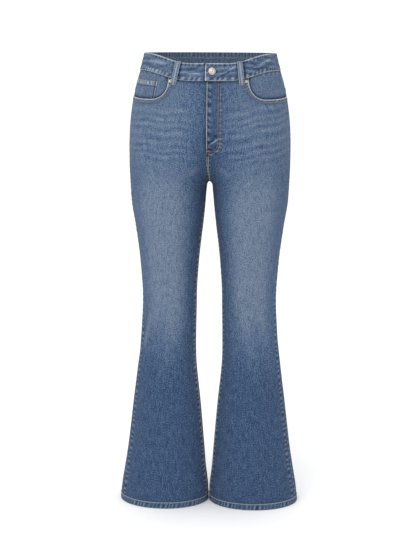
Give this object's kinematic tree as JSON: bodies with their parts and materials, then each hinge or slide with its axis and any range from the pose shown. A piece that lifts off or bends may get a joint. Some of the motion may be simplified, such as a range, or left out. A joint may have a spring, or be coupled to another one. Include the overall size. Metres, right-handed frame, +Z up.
{
  "type": "bootcut jeans",
  "caption": "Mid-rise bootcut jeans in their worn shape, close at the thigh and flared to the hem, with scoop pockets, a lapped fly and a buttoned waistband",
  "frame": {"origin": "the middle of the waist opening, halfway up the waistband at the side seams, where the wearer holds the jeans up", "axes": "+Z up along the rise and legs; the front faces -Y; +X is the wearer's left"},
  "size_m": [0.4224, 0.2517, 1.0538],
  "materials": {
    "denim": "washed denim",
    "denim_dark": "denim, little worn",
    "denim_worn": "denim, more worn, with stitched edges",
    "nickel": "brushed"
  },
  "bodies": {
    "root": {"waistband": "denim", "front_left": "denim", "front_right": "denim", "back_left": "denim", "back_right": "denim", "yoke_left": "denim", "yoke_right": "denim", "pocket_facing_left": "denim_dark", "pocket_facing_right": "denim_dark", "back_pocket_left": "denim_worn", "back_pocket_right": "denim_worn", "hem_left": "denim_worn", "hem_right": "denim_worn", "belt_loop_front_left": "denim_worn", "belt_loop_front_right": "denim_worn", "belt_loop_side_left": "denim_worn", "belt_loop_side_right": "denim_worn", "belt_loop_back": "denim_worn", "coin_pocket": "denim_worn", "waist_button": "nickel", "rivet_left": "nickel", "rivet_right": "nickel"}
  },
  "joints": []
}
